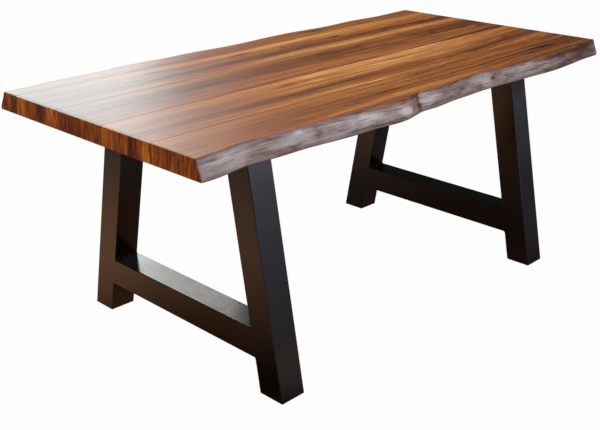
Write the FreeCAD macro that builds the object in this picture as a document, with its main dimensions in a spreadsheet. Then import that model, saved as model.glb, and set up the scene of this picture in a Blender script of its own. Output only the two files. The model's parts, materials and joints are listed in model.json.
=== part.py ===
import FreeCAD, Part
import math
import os

import Sketcher

# A dining table whose top is five planks edge-glued side by side. The two outer planks keep
# the tree's own wavy edge. Two steel A-frames of square tube stand under it, and each foot
# holds a levelling screw.
#
# X runs along the table, Y across it and Z up. The origin is on the floor under the middle.
# Left is -X, right is +X, front is -Y and back is +Y.

doc = FreeCAD.newDocument("live_edge_dining_table")

# ---------------------------------------------------------------- driving dimensions, in mm
SIZES = [
    ("top_length", 1830),
    ("top_height", 760),
    ("top_thickness", 55),
    ("front_seam", -257),
    ("front_inner_seam", -55),
    ("back_inner_seam", 151),
    ("back_seam", 357),
    ("end_arris", 1.2),
    ("rim_ease", 2.5),
    ("biscuit_length", 56),
    ("biscuit_width", 23),
    ("biscuit_thickness", 3.8),
    ("biscuit_play", 0.2),
    ("biscuit_spacing", 220),
    ("biscuit_count", 8),
    ("frame_spacing", 1220),
    ("foot_spread", 864),
    ("head_spread", 599),
    ("tube_size", 85),
    ("tube_wall", 3),
    ("tube_corner", 2.5),
    ("crossbar_lift", 101),
    ("weld_bead", 5),
    ("weld_edge_inset", 0.4),
    ("plate_length", 640),
    ("plate_width", 150),
    ("plate_thickness", 8),
    ("plate_corner", 12),
    ("bolt_offset", 57),
    ("bolt_reach", 220),
    ("bolt_radius", 4),
    ("bolt_head_flats", 13),
    ("bolt_head_height", 5.3),
    ("bolt_length", 30),
    ("slot_radius", 4.5),
    ("slot_run", 12),
    ("washer_radius", 12),
    ("washer_thickness", 2),
    ("insert_radius", 6),
    ("insert_length", 25),
    ("bore_depth", 27),
    ("thread_play", 0.05),
    ("foot_gap", 1.5),
    ("foot_plate_lift", 11),
    ("foot_plate_thickness", 5),
    ("foot_plate_play", 0.3),
    ("nut_flats", 17),
    ("nut_height", 10),
    ("stem_radius", 5),
    ("stem_length", 42),
    ("stem_socket", 7),
    ("pad_radius", 25),
    ("pad_round", 2),
]

sheet = doc.addObject("Spreadsheet::Sheet", "Sizes")
for row, (alias, value) in enumerate(SIZES, 1):
    sheet.set(f"A{row}", alias)
    sheet.set(f"B{row}", str(value))
    sheet.setAlias(f"B{row}", alias)
doc.recompute()

# Lengths that follow from the sheet, as expressions.
UNDERSIDE = "(Sizes.top_height - Sizes.top_thickness)"
MID_TOP = "(Sizes.top_height - Sizes.top_thickness / 2)"
PLATE_UNDERSIDE = f"({UNDERSIDE} - Sizes.plate_thickness)"
HEAD_SEAT = f"({PLATE_UNDERSIDE} - Sizes.washer_thickness)"
LEAN = f"((Sizes.foot_spread - Sizes.head_spread) / 2 / {UNDERSIDE})"
SLANT = f"sqrt(1 + {LEAN}^2)"
LEG_DEPTH = f"(Sizes.tube_size * {SLANT})"
LEG_WALL = f"(Sizes.tube_wall * {SLANT})"
HALF_TUBE = "(Sizes.tube_size / 2)"
CROSSBAR_TOP = "(Sizes.crossbar_lift + Sizes.tube_size)"
SEAMS = ["Sizes.front_seam", "Sizes.front_inner_seam", "Sizes.back_inner_seam", "Sizes.back_seam"]
SIDES = {"left": -1, "right": 1}
ROWS = {"front": -1, "back": 1}


def leg_face(height, setback="0"):
    """Distance from the middle plane to a leg's outer face at a height, less a setback."""
    return f"(Sizes.foot_spread / 2 - {LEAN} * ({height}) - {setback})"


FOOT_REACH = leg_face("Sizes.foot_plate_lift", f"{LEG_DEPTH} / 2")


# ------------------------------------------------------------------------- modelling helpers
def worth(expression):
    """The number that an expression stands for now."""
    return float(sheet.evalExpression(expression))


def new_body(label, frame=0):
    """An empty body. One that belongs to a frame is placed at that frame's middle plane."""
    body = doc.addObject("PartDesign::Body", label)
    body.Label = label
    body.AllowCompound = True
    if frame:
        body.setExpression("Placement.Base.x", f"{frame} * Sizes.frame_spacing / 2")
    return body


def origin_item(body, role):
    return next(item for item in body.Origin.OriginFeatures if item.Role == role)


def new_sketch(body, name, plane="XY_Plane", lift="0"):
    sketch = body.newObject("Sketcher::SketchObject", name)
    sketch.AttachmentSupport = [(origin_item(body, plane), "")]
    sketch.MapMode = "FlatFace"
    sketch.setExpression("AttachmentOffset.Base.z", lift)
    return sketch


def bind(sketch, kind, expression, *where):
    """Adds a constraint whose size is an expression."""
    index = sketch.addConstraint(Sketcher.Constraint(kind, *where, worth(expression)))
    sketch.setExpression(f"Constraints[{index}]", expression)


def pin(sketch, geometry, point, x, y):
    """Holds a point at x, y, or on an axis where that distance is none."""
    for kind, axis, expression in (("DistanceX", -2, x), ("DistanceY", -1, y)):
        if abs(worth(expression)) < 1e-9:
            sketch.addConstraint(Sketcher.Constraint("PointOnObject", geometry, point, axis))
        else:
            bind(sketch, kind, expression, -1, 1, geometry, point)


def add_polygon(sketch, corners):
    """Closed straight-sided outline through corners, each a pair of expressions."""
    places = [FreeCAD.Vector(worth(x), worth(y), 0) for x, y in corners]
    first = sketch.GeometryCount
    count = len(corners)
    for step in range(count):
        sketch.addGeometry(Part.LineSegment(places[step], places[(step + 1) % count]))
    for step, (x, y) in enumerate(corners):
        after = first + (step + 1) % count
        sketch.addConstraint(Sketcher.Constraint("Coincident", first + step, 2, after, 1))
        pin(sketch, first + step, 1, x, y)


def add_rectangle(sketch, left, right, low, high):
    add_polygon(sketch, [(left, low), (right, low), (right, high), (left, high)])


def add_circle(sketch, x, y, radius):
    centre = FreeCAD.Vector(worth(x), worth(y), 0)
    index = sketch.addGeometry(Part.Circle(centre, FreeCAD.Vector(0, 0, 1), worth(radius)))
    pin(sketch, index, 3, x, y)
    bind(sketch, "Radius", radius, index)


def add_hexagon(sketch, x, y, flats):
    """Hexagon with two flats across X, sized by the distance between them."""
    corners = []
    for turn_x, turn_y in ((0.5, 0.5), (0, 1), (-0.5, 0.5), (-0.5, -0.5), (0, -1), (0.5, -0.5)):
        corners.append((f"{x} + {turn_x} * {flats}", f"{y} + {turn_y} * {flats} / sqrt(3)"))
    add_polygon(sketch, corners)


def add_slot(sketch, x, y, radius, run):
    """Round-ended hole that runs along Y, where run is between its two end centres."""
    places = [FreeCAD.Vector(worth(x), worth(y) + end * worth(run) / 2, 0) for end in (-1, 1)]
    half_turn = 3.141592653589793
    first = sketch.GeometryCount
    for place, start in zip(places, (half_turn, 0)):
        circle = Part.Circle(place, FreeCAD.Vector(0, 0, 1), worth(radius))
        sketch.addGeometry(Part.ArcOfCircle(circle, start, start + half_turn))
    across = FreeCAD.Vector(worth(radius), 0, 0)
    sketch.addGeometry(Part.LineSegment(places[0] + across, places[1] + across))
    sketch.addGeometry(Part.LineSegment(places[1] - across, places[0] - across))
    for one, one_end, other, other_end in ((0, 2, 2, 1), (2, 2, 1, 1), (1, 2, 3, 1), (3, 2, 0, 1)):
        ends = (first + one, one_end, first + other, other_end)
        sketch.addConstraint(Sketcher.Constraint("Tangent", *ends))
    pin(sketch, first, 3, x, f"{y} - {run} / 2")
    pin(sketch, first + 1, 3, x, f"{y} + {run} / 2")
    bind(sketch, "Radius", radius, first)


def add_lens(sketch, x, y, length, width):
    """Biscuit outline: two arcs that meet in points on the seam."""
    half, rise = worth(length) / 2, worth(width) / 2
    tips = [FreeCAD.Vector(worth(x) + end * half, worth(y), 0) for end in (-1, 1)]
    first = sketch.GeometryCount
    for bulge, start, stop in ((-1, tips[0], tips[1]), (1, tips[1], tips[0])):
        crown = FreeCAD.Vector(worth(x), worth(y) + bulge * rise, 0)
        sketch.addGeometry(Part.Arc(start, crown, stop))
    sketch.addConstraint(Sketcher.Constraint("Coincident", first, 2, first + 1, 1))
    sketch.addConstraint(Sketcher.Constraint("Coincident", first + 1, 2, first, 1))
    pin(sketch, first, 1, f"{x} - {length} / 2", y)
    pin(sketch, first, 2, f"{x} + {length} / 2", y)
    for index in (first, first + 1):
        bind(sketch, "Radius", f"(({length})^2 / 4 + ({width})^2 / 4) / ({width})", index)


def add_pad(body, sketch, length, midplane=False, lean="0"):
    """Extrudes a sketch by length along its normal, shifted sideways by lean per unit."""
    pad = body.newObject("PartDesign::Pad", f"{sketch.Label}_pad")
    pad.Profile = sketch
    pad.setExpression("Length", length)
    pad.Midplane = midplane
    if lean != "0":
        pad.UseCustomVector = True
        pad.AlongSketchNormal = True
        pad.Direction = FreeCAD.Vector(0, worth(lean), 1)
        pad.setExpression("Direction.y", lean)
    body.Tip = pad
    return pad


def add_pocket(body, sketch, depth=None, both_ways=False):
    """Cuts a sketch upwards to a depth, or both ways, right through when no depth is given."""
    pocket = body.newObject("PartDesign::Pocket", f"{sketch.Label}_pocket")
    pocket.Profile = sketch
    pocket.Reversed = not both_ways
    pocket.Midplane = both_ways
    if depth is None:
        pocket.Type = "ThroughAll"
    else:
        pocket.setExpression("Length", depth)
    body.Tip = pocket
    return pocket


def add_row(body, features, axis, length, count, other_axis=None, other_length=None, other_count=1):
    """Repeats features in a row, or in a grid where a second axis is given."""
    row = body.newObject("PartDesign::LinearPattern", f"{features[0].Label}_row")
    row.Originals = features
    row.Direction = (origin_item(body, axis), [""])
    row.setExpression("Length", length)
    row.setExpression("Occurrences", count)
    if other_axis:
        row.Direction2 = (origin_item(body, other_axis), [""])
        row.setExpression("Length2", other_length)
        row.Occurrences2 = other_count
    body.Tip = row
    return row


def round_edges(body, feature, wanted, radius):
    """Fillets the edges of a feature whose bounding boxes wanted() picks."""
    doc.recompute()
    names = [f"Edge{n}" for n, edge in enumerate(feature.Shape.Edges, 1) if wanted(edge.BoundBox)]
    fillet = body.newObject("PartDesign::Fillet", f"{feature.Label}_rounded")
    fillet.Base = (feature, names)
    fillet.setExpression("Radius", radius)
    body.Tip = fillet
    return fillet


# --------------------------------------------------------------------------------- table top
# The two live edges, as (place along X, distance at the top face, distance at the lower rim).
# The bark side leans outwards going down. Distances are from the middle plane.
FRONT_EDGE = [
    (-915, 425, 444),
    (-830, 417, 441),
    (-760, 410, 432),
    (-690, 412, 437),
    (-600, 416, 439),
    (-530, 418, 443),
    (-460, 426, 451),
    (-400, 433, 455),
    (-345, 430, 456),
    (-300, 431, 459),
    (-240, 439, 465),
    (-180, 438, 462),
    (-130, 430, 450),
    (-95, 422, 443),
    (-40, 429, 444),
    (40, 425, 437),
    (130, 418, 434),
    (220, 413, 431),
    (280, 422, 432),
    (350, 429, 437),
    (440, 427, 441),
    (520, 437, 446),
    (590, 441, 450),
    (680, 436, 448),
    (780, 427, 440),
    (850, 423, 436),
    (915, 419, 436),
]
BACK_EDGE = [
    (-915, 416, 440),
    (-820, 421, 446),
    (-720, 430, 452),
    (-610, 428, 451),
    (-500, 435, 460),
    (-420, 437, 465),
    (-330, 429, 455),
    (-240, 431, 453),
    (-140, 425, 447),
    (-30, 422, 445),
    (80, 428, 450),
    (190, 433, 457),
    (280, 430, 455),
    (370, 422, 444),
    (470, 421, 441),
    (570, 426, 447),
    (660, 420, 445),
    (740, 417, 440),
    (830, 422, 443),
    (915, 426, 447),
]
# Sections of a live edge: share of the thickness above the underside, share of the way from
# the lower rim to the top rim, and share of the lower rim's easing.
EDGE_SECTIONS = [
    (0.0, 0.0, 1.0),
    (0.08, 0.04, 0.0),
    (0.45, 0.42, -0.5),
    (0.8, 0.8, -0.2),
    (1.0, 1.0, 0.0),
]


def add_edge_outline(sketch, seam, edge, side, rise, ease):
    """Outline of a live-edge plank at one height: three straight sides and a smooth curve."""
    half = worth("Sizes.top_length / 2")
    reach = edge[-1][0]
    shares = [(place + reach) / (2 * reach) for place, top, low in edge]
    points = []
    for place, top, low in edge:
        distance = low + (top - low) * rise - ease * worth("Sizes.rim_ease")
        points.append(FreeCAD.Vector(place * half / reach, side * distance, 0))
    curve = Part.BSplineCurve()
    curve.interpolate(Points=points, Parameters=shares)
    start = FreeCAD.Vector(-half, worth(seam), 0)
    stop = FreeCAD.Vector(half, worth(seam), 0)
    sketch.addGeometry(curve)
    sketch.addGeometry(Part.LineSegment(points[-1], stop))
    sketch.addGeometry(Part.LineSegment(stop, start))
    sketch.addGeometry(Part.LineSegment(start, points[0]))
    sketch.addConstraint(Sketcher.Constraint("Block", 0))
    for step in range(4):
        sketch.addConstraint(Sketcher.Constraint("Coincident", step, 2, (step + 1) % 4, 1))
    pin(sketch, 2, 2, "-Sizes.top_length / 2", seam)
    pin(sketch, 2, 1, "Sizes.top_length / 2", seam)


def cut_biscuit_slots(body, seam, name):
    """A row of slots for the biscuits that key this plank to its neighbour."""
    sketch = new_sketch(body, name, lift=MID_TOP)
    start = "-Sizes.biscuit_spacing * (Sizes.biscuit_count - 1) / 2"
    play = "4 * Sizes.biscuit_play"
    add_lens(sketch, start, seam, f"(Sizes.biscuit_length + {play})", f"(Sizes.biscuit_width + {play})")
    slot = add_pocket(body, sketch, "Sizes.biscuit_thickness + Sizes.biscuit_play", both_ways=True)
    length = "Sizes.biscuit_spacing * (Sizes.biscuit_count - 1)"
    return add_row(body, [slot], "X_Axis", length, "Sizes.biscuit_count")


def make_plank(label, front_seam, back_seam, bolt_line):
    """A straight plank between two seams, with blind bores for the threaded inserts."""
    body = new_body(label)
    outline = new_sketch(body, f"{label}_outline", lift=UNDERSIDE)
    half = "Sizes.top_length / 2"
    add_rectangle(outline, f"-{half}", half, front_seam, back_seam)
    blank = add_pad(body, outline, "Sizes.top_thickness")

    def is_end_arris(box):
        return box.YLength > 50 and box.XLength < 0.1 and box.ZLength < 0.1

    round_edges(body, blank, is_end_arris, "Sizes.end_arris")
    cut_biscuit_slots(body, front_seam, f"{label}_front_slots")
    cut_biscuit_slots(body, back_seam, f"{label}_back_slots")
    bores = new_sketch(body, f"{label}_bores", lift=UNDERSIDE)
    for frame in SIDES.values():
        for offset in (-1, 1):
            x = f"{frame} * Sizes.frame_spacing / 2 + {offset} * Sizes.bolt_offset"
            add_circle(bores, x, bolt_line, "Sizes.insert_radius + Sizes.thread_play")
    add_pocket(body, bores, "Sizes.bore_depth")


def make_live_plank(label, seam, edge, side):
    """A plank with a sawn seam on one side and the tree's wavy edge on the other."""
    body = new_body(label)
    sections = []
    for number, (share, rise, ease) in enumerate(EDGE_SECTIONS):
        height = f"{UNDERSIDE} + {share} * Sizes.top_thickness"
        section = new_sketch(body, f"{label}_section_{number}", lift=height)
        add_edge_outline(section, seam, edge, side, rise, ease)
        sections.append(section)
    loft = body.newObject("PartDesign::AdditiveLoft", f"{label}_loft")
    loft.Profile = sections[0]
    loft.Sections = sections[1:]
    loft.Ruled = False
    body.Tip = loft
    cut_biscuit_slots(body, seam, f"{label}_slots")


def make_biscuits(label, seam):
    """The pressed beech tongues glued into the slots of one seam."""
    body = new_body(label)
    sketch = new_sketch(body, f"{label}_outline", lift=MID_TOP)
    start = "-Sizes.biscuit_spacing * (Sizes.biscuit_count - 1) / 2"
    add_lens(sketch, start, seam, "Sizes.biscuit_length", "Sizes.biscuit_width")
    biscuit = add_pad(body, sketch, "Sizes.biscuit_thickness", midplane=True)
    length = "Sizes.biscuit_spacing * (Sizes.biscuit_count - 1)"
    add_row(body, [biscuit], "X_Axis", length, "Sizes.biscuit_count")


# ------------------------------------------------------------------------------ steel frames
def make_leg(label, frame, row):
    """Square tube that leans inwards, sawn level at the floor and under the mounting plate."""
    body = new_body(label, frame)
    section = new_sketch(body, f"{label}_section", lift="Sizes.foot_gap")
    for wall_x, wall_y in (("0", "0"), ("Sizes.tube_wall", LEG_WALL)):
        outer = f"{row} * {leg_face('Sizes.foot_gap', wall_y)}"
        inner = f"{row} * ({leg_face('Sizes.foot_gap', LEG_DEPTH)} + {wall_y})"
        half = f"({HALF_TUBE} - {wall_x})"
        add_rectangle(section, f"-{half}", half, outer, inner)
    tube = add_pad(body, section, f"{PLATE_UNDERSIDE} - Sizes.foot_gap", lean=f"{-row} * {LEAN}")
    corner = worth(HALF_TUBE) - 0.1

    def is_outer_corner(box):
        return box.ZLength > 500 and abs(box.XMin) > corner

    round_edges(body, tube, is_outer_corner, "Sizes.tube_corner")


def make_crossbar(label, frame):
    """Square tube between the legs, with its ends mitred to their lean."""
    body = new_body(label, frame)
    side_view = new_sketch(body, f"{label}_side_view", plane="YZ_Plane")
    low = leg_face("Sizes.crossbar_lift", LEG_DEPTH)
    high = leg_face(CROSSBAR_TOP, LEG_DEPTH)
    corners = [(f"-{low}", "Sizes.crossbar_lift"), (low, "Sizes.crossbar_lift")]
    corners += [(high, CROSSBAR_TOP), (f"-{high}", CROSSBAR_TOP)]
    add_polygon(side_view, corners)
    bar = add_pad(body, side_view, "Sizes.tube_size", midplane=True)
    corner = worth(HALF_TUBE) - 0.1

    def is_long_corner(box):
        return box.YLength > 300 and abs(box.XMin) > corner

    round_edges(body, bar, is_long_corner, "Sizes.tube_corner")
    hollow = new_sketch(body, f"{label}_hollow", plane="XZ_Plane")
    half = f"({HALF_TUBE} - Sizes.tube_wall)"
    low = "Sizes.crossbar_lift + Sizes.tube_wall"
    add_rectangle(hollow, f"-{half}", half, low, f"{CROSSBAR_TOP} - Sizes.tube_wall")
    add_pocket(body, hollow, both_ways=True)


def make_mounting_plate(label, frame):
    """Flat steel across the tops of both legs. Its slots let the top swell across the grain."""
    body = new_body(label, frame)
    outline = new_sketch(body, f"{label}_outline", lift=PLATE_UNDERSIDE)
    half_width = "Sizes.plate_width / 2"
    half_length = "Sizes.plate_length / 2"
    add_rectangle(outline, f"-{half_width}", half_width, f"-{half_length}", half_length)
    for offset in (-1, 1):
        x = f"{offset} * Sizes.bolt_offset"
        add_circle(outline, x, "0", "Sizes.slot_radius")
        for row in ROWS.values():
            add_slot(outline, x, f"{row} * Sizes.bolt_reach", "Sizes.slot_radius", "Sizes.slot_run")
    plate = add_pad(body, outline, "Sizes.plate_thickness")
    corner = worth("Sizes.plate_width / 2") - 0.1

    def is_corner(box):
        return box.ZLength > 5 and abs(box.XMin) > corner and box.XLength < 0.1

    round_edges(body, plate, is_corner, "Sizes.plate_corner")


def add_flush_section(sketch, side, row, distance):
    """Level section of the weld that fills a leg's rounded corner against a crossbar's end."""
    flat = f"{side} * ({HALF_TUBE} - Sizes.tube_corner + Sizes.weld_edge_inset)"
    face = f"{side} * {HALF_TUBE}"
    root = f"{row} * {distance}"
    toe = f"{row} * ({distance} + Sizes.tube_corner * {SLANT} - Sizes.weld_edge_inset)"
    inner = FreeCAD.Vector(worth(flat), worth(root), 0)
    corner = FreeCAD.Vector(worth(face), worth(root), 0)
    outer = FreeCAD.Vector(worth(face), worth(toe), 0)
    centre = FreeCAD.Vector(worth(flat), worth(toe), 0)
    diagonal = math.sqrt(0.5)
    crown = centre + (corner - inner) * diagonal + (corner - outer) * diagonal
    first = sketch.GeometryCount
    sketch.addGeometry(Part.LineSegment(inner, corner))
    sketch.addGeometry(Part.LineSegment(corner, outer))
    sketch.addGeometry(Part.Arc(outer, crown, inner))
    arc_ends = (2, 1) if side * row > 0 else (1, 2)  # a sketch's arcs run anticlockwise
    sketch.addConstraint(Sketcher.Constraint("Coincident", first, 2, first + 1, 1))
    sketch.addConstraint(Sketcher.Constraint("Coincident", first + 1, 2, first + 2, arc_ends[0]))
    sketch.addConstraint(Sketcher.Constraint("Coincident", first + 2, arc_ends[1], first, 1))
    pin(sketch, first, 1, flat, root)
    pin(sketch, first, 2, face, root)
    pin(sketch, first + 1, 2, face, toe)
    bind(sketch, "Radius", f"Sizes.tube_corner * (1 + {SLANT}) / 2", first + 2)


def make_weld_beads(label, frame):
    """Fillet welds above and below the crossbar's ends and under the mounting plate, and flush
    welds, ground level with the tubes' sides, that fill the legs' rounded corners beside them."""
    body = new_body(label, frame)
    sketch = new_sketch(body, f"{label}_sections", plane="YZ_Plane")
    bead = "Sizes.weld_bead"
    inner_welds = [(CROSSBAR_TOP, 1), ("Sizes.crossbar_lift", -1), (PLATE_UNDERSIDE, -1)]
    for row in ROWS.values():
        for height, rise in inner_welds:
            far = f"({height} + {rise} * {bead})"
            root = f"{row} * {leg_face(height, LEG_DEPTH)}"
            toe = f"{row} * ({leg_face(height, LEG_DEPTH)} - {bead})"
            crown = f"{row} * {leg_face(far, LEG_DEPTH)}"
            add_polygon(sketch, [(root, height), (toe, height), (crown, far)])
        far = f"({PLATE_UNDERSIDE} - {bead})"
        root = f"{row} * {leg_face(PLATE_UNDERSIDE)}"
        toe = f"{row} * ({leg_face(PLATE_UNDERSIDE)} + {bead})"
        crown = f"{row} * {leg_face(far)}"
        add_polygon(sketch, [(root, PLATE_UNDERSIDE), (toe, PLATE_UNDERSIDE), (crown, far)])
    add_pad(body, sketch, "Sizes.tube_size - 2 * Sizes.tube_corner", midplane=True)
    low = "(Sizes.crossbar_lift + Sizes.tube_corner)"
    for end, row in ROWS.items():
        flush = new_sketch(body, f"{label}_{end}_flush", lift=low)
        for side in (-1, 1):
            add_flush_section(flush, side, row, leg_face(low, LEG_DEPTH))
        add_pad(body, flush, "Sizes.tube_size - 2 * Sizes.tube_corner", lean=f"{-row} * {LEAN}")


# --------------------------------------------------------------- what bolts the frames to the top
def repeat_at_bolts(body, features):
    """The six bolt places of one frame: two columns of three."""
    columns = ("X_Axis", "2 * Sizes.bolt_offset", "2")
    rows = ("Y_Axis", "2 * Sizes.bolt_reach", 3)
    add_row(body, features, *columns, *rows)


def make_bolts(label, frame):
    body = new_body(label, frame)
    x, y = "-Sizes.bolt_offset", "-Sizes.bolt_reach"
    head_outline = new_sketch(body, f"{label}_head", lift=f"{HEAD_SEAT} - Sizes.bolt_head_height")
    add_hexagon(head_outline, x, y, "Sizes.bolt_head_flats")
    head = add_pad(body, head_outline, "Sizes.bolt_head_height")
    shank_outline = new_sketch(body, f"{label}_shank", lift=HEAD_SEAT)
    add_circle(shank_outline, x, y, "Sizes.bolt_radius")
    shank = add_pad(body, shank_outline, "Sizes.bolt_length")
    repeat_at_bolts(body, [head, shank])


def make_rings(label, frame, bore, radius, low, height):
    """Six round sleeves or washers, one at each bolt."""
    body = new_body(label, frame)
    outline = new_sketch(body, f"{label}_outline", lift=low)
    for size in (radius, bore):
        add_circle(outline, "-Sizes.bolt_offset", "-Sizes.bolt_reach", size)
    ring = add_pad(body, outline, height)
    repeat_at_bolts(body, [ring])


# -------------------------------------------------------------------------------------- feet
def make_foot_plate(label, frame, row):
    """Steel plate welded a little way up inside the tube, which the levelling screw passes."""
    body = new_body(label, frame)
    outline = new_sketch(body, f"{label}_outline", lift="Sizes.foot_plate_lift")
    half = f"({HALF_TUBE} - Sizes.tube_wall - Sizes.foot_plate_play)"
    setback = f"({LEG_WALL} + Sizes.foot_plate_play)"
    outer = f"{row} * {leg_face('Sizes.foot_plate_lift', setback)}"
    inner = f"{row} * ({leg_face('Sizes.foot_plate_lift', LEG_DEPTH)} + {setback})"
    add_rectangle(outline, f"-{half}", half, outer, inner)
    add_circle(outline, "0", f"{row} * {FOOT_REACH}", "Sizes.stem_radius + 1")
    add_pad(body, outline, "Sizes.foot_plate_thickness", lean=f"{-row} * {LEAN}")


def make_weld_nut(label, frame, row):
    body = new_body(label, frame)
    lift = "Sizes.foot_plate_lift + Sizes.foot_plate_thickness"
    outline = new_sketch(body, f"{label}_outline", lift=lift)
    y = f"{row} * {FOOT_REACH}"
    add_hexagon(outline, "0", y, "Sizes.nut_flats")
    add_circle(outline, "0", y, "Sizes.stem_radius + Sizes.thread_play")
    add_pad(body, outline, "Sizes.nut_height")


def make_leveller_stem(label, frame, row):
    """Threaded rod of the levelling foot. Its lower end sits in the pad."""
    body = new_body(label, frame)
    outline = new_sketch(body, f"{label}_outline", lift="Sizes.foot_plate_lift - Sizes.stem_socket")
    add_circle(outline, "0", f"{row} * {FOOT_REACH}", "Sizes.stem_radius")
    add_pad(body, outline, "Sizes.stem_length")


def make_leveller_pad(label, frame, row):
    """Nylon disc that meets the floor. Screwed home, its top bears on the foot plate."""
    body = new_body(label, frame)
    y = f"{row} * {FOOT_REACH}"
    outline = new_sketch(body, f"{label}_outline")
    add_circle(outline, "0", y, "Sizes.pad_radius")
    disc = add_pad(body, outline, "Sizes.foot_plate_lift")

    def is_rim(box):
        return box.ZLength < 0.1 and box.XLength > 5

    round_edges(body, disc, is_rim, "Sizes.pad_round")
    socket = new_sketch(body, f"{label}_socket", lift="Sizes.foot_plate_lift - Sizes.stem_socket")
    add_circle(socket, "0", y, "Sizes.stem_radius + Sizes.thread_play")
    add_pocket(body, socket, "Sizes.stem_socket")


# ---------------------------------------------------------------------------------- assembly
make_live_plank("front_live_edge_plank", SEAMS[0], FRONT_EDGE, -1)
make_plank("front_inner_plank", SEAMS[0], SEAMS[1], "-Sizes.bolt_reach")
make_plank("middle_plank", SEAMS[1], SEAMS[2], "0")
make_plank("back_inner_plank", SEAMS[2], SEAMS[3], "Sizes.bolt_reach")
make_live_plank("back_live_edge_plank", SEAMS[3], BACK_EDGE, 1)
for number, seam in enumerate(SEAMS, 1):
    make_biscuits(f"seam_{number}_biscuits", seam)

for side, frame in SIDES.items():
    make_crossbar(f"{side}_crossbar", frame)
    make_mounting_plate(f"{side}_mounting_plate", frame)
    make_weld_beads(f"{side}_weld_beads", frame)
    make_bolts(f"{side}_mounting_bolts", frame)
    washer = ("Sizes.slot_radius", "Sizes.washer_radius", HEAD_SEAT, "Sizes.washer_thickness")
    make_rings(f"{side}_washers", frame, *washer)
    insert_bore = "Sizes.bolt_radius + Sizes.thread_play"
    insert = (insert_bore, "Sizes.insert_radius", UNDERSIDE, "Sizes.insert_length")
    make_rings(f"{side}_threaded_inserts", frame, *insert)
    for end, row in ROWS.items():
        make_leg(f"{side}_{end}_leg", frame, row)
        make_foot_plate(f"{side}_{end}_foot_plate", frame, row)
        make_weld_nut(f"{side}_{end}_weld_nut", frame, row)
        make_leveller_stem(f"{side}_{end}_leveller_stem", frame, row)
        make_leveller_pad(f"{side}_{end}_leveller_pad", frame, row)

doc.recompute()

# ------------------------------------------------------------------------ checks and export
for item in doc.Objects:
    if "Invalid" in item.State or "Error" in item.State:
        raise RuntimeError(f"{item.Label} did not build: {item.State}")
bodies = [item for item in doc.Objects if item.TypeId == "PartDesign::Body"]
for body in bodies:
    if body.Shape.isNull() or not body.Shape.isValid() or not body.Shape.Solids:
        raise RuntimeError(f"{body.Label} has no valid solid")

os.makedirs("parts", exist_ok=True)
for body in bodies:
    body.Shape.exportStep(f"parts/{body.Label}.step")
    box = body.Shape.BoundBox
    litres = body.Shape.Volume / 1e6
    print(f"{body.Label:30s} {len(body.Shape.Solids):2d} solids  {litres:8.3f} l  "
          f"{box.XLength:7.1f} x {box.YLength:6.1f} x {box.ZLength:6.1f}")
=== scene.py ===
import json
import math

import bmesh
import bpy
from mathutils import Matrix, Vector, noise
from mathutils.bvhtree import BVHTree


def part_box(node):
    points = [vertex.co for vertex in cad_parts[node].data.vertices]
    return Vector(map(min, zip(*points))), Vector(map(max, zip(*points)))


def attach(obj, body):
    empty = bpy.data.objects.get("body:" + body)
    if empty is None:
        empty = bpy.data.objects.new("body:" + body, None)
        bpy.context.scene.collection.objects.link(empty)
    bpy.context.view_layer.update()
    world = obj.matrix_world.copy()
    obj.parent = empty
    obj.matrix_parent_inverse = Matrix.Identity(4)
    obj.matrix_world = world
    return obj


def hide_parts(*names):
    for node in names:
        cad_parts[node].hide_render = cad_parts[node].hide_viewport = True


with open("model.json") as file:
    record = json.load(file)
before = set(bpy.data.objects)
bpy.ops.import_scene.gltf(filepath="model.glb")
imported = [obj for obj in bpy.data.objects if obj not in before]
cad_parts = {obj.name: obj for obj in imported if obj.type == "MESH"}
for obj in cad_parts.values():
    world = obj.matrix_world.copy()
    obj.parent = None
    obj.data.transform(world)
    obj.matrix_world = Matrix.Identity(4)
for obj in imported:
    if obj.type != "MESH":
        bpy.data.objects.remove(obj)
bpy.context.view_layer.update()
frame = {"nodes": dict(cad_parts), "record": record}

nodes = frame["nodes"]
mm = 0.001
print("frame loaded,", len(nodes), "nodes")


# sRGB hex to the linear colour that a socket takes
def linear(hexColour):
    parts = [int(hexColour[i:i + 2], 16) / 255 for i in (1, 3, 5)]
    return tuple(c / 12.92 if c <= 0.04045 else ((c + 0.055) / 1.055) ** 2.4 for c in parts) + (1,)


# Adds a node with its properties. Inputs go by name or number: a node or socket is linked,
# a number or colour is written in.
def addNode(tree, kind, inputs=None, **settings):
    made = tree.nodes.new(kind)
    for key, value in settings.items():
        setattr(made, key, value)
    for key, value in (inputs or {}).items():
        source = value.outputs[0] if isinstance(value, bpy.types.Node) else value
        if isinstance(source, bpy.types.NodeSocket):
            tree.links.new(source, made.inputs[key])
        else:
            made.inputs[key].default_value = source
    return made


# An empty node material with its output.
def newMaterial(name):
    material = bpy.data.materials.new(name)
    material.use_nodes = True
    material.node_tree.nodes.clear()
    return material, material.node_tree, addNode(material.node_tree, "ShaderNodeOutputMaterial")


# Fills a colour ramp with (place, colour) stops, where a bare number is a grey.
def setStops(rampNode, stops, smooth="LINEAR"):
    ramp = rampNode.color_ramp
    ramp.interpolation = smooth
    while len(ramp.elements) < len(stops):
        ramp.elements.new(0.5)
    for element, (place, colour) in zip(ramp.elements, stops):
        element.position = place
        element.color = linear(colour) if isinstance(colour, str) else (colour, colour, colour, 1)
    return rampNode


# Cloudy pattern whose blobs measure size, in mm, along X, Y and Z.
def cloudPattern(tree, place, size, seed, detail=2.0, roughness=0.55):
    fitted = addNode(tree, "ShaderNodeMapping", {
        "Vector": place, "Location": (seed, seed * 1.7, seed * 0.6),
        "Scale": [1 / (side * mm) for side in size]})
    return addNode(tree, "ShaderNodeTexNoise", {
        "Vector": fitted, "Scale": 1.0, "Detail": detail, "Roughness": roughness})


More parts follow.
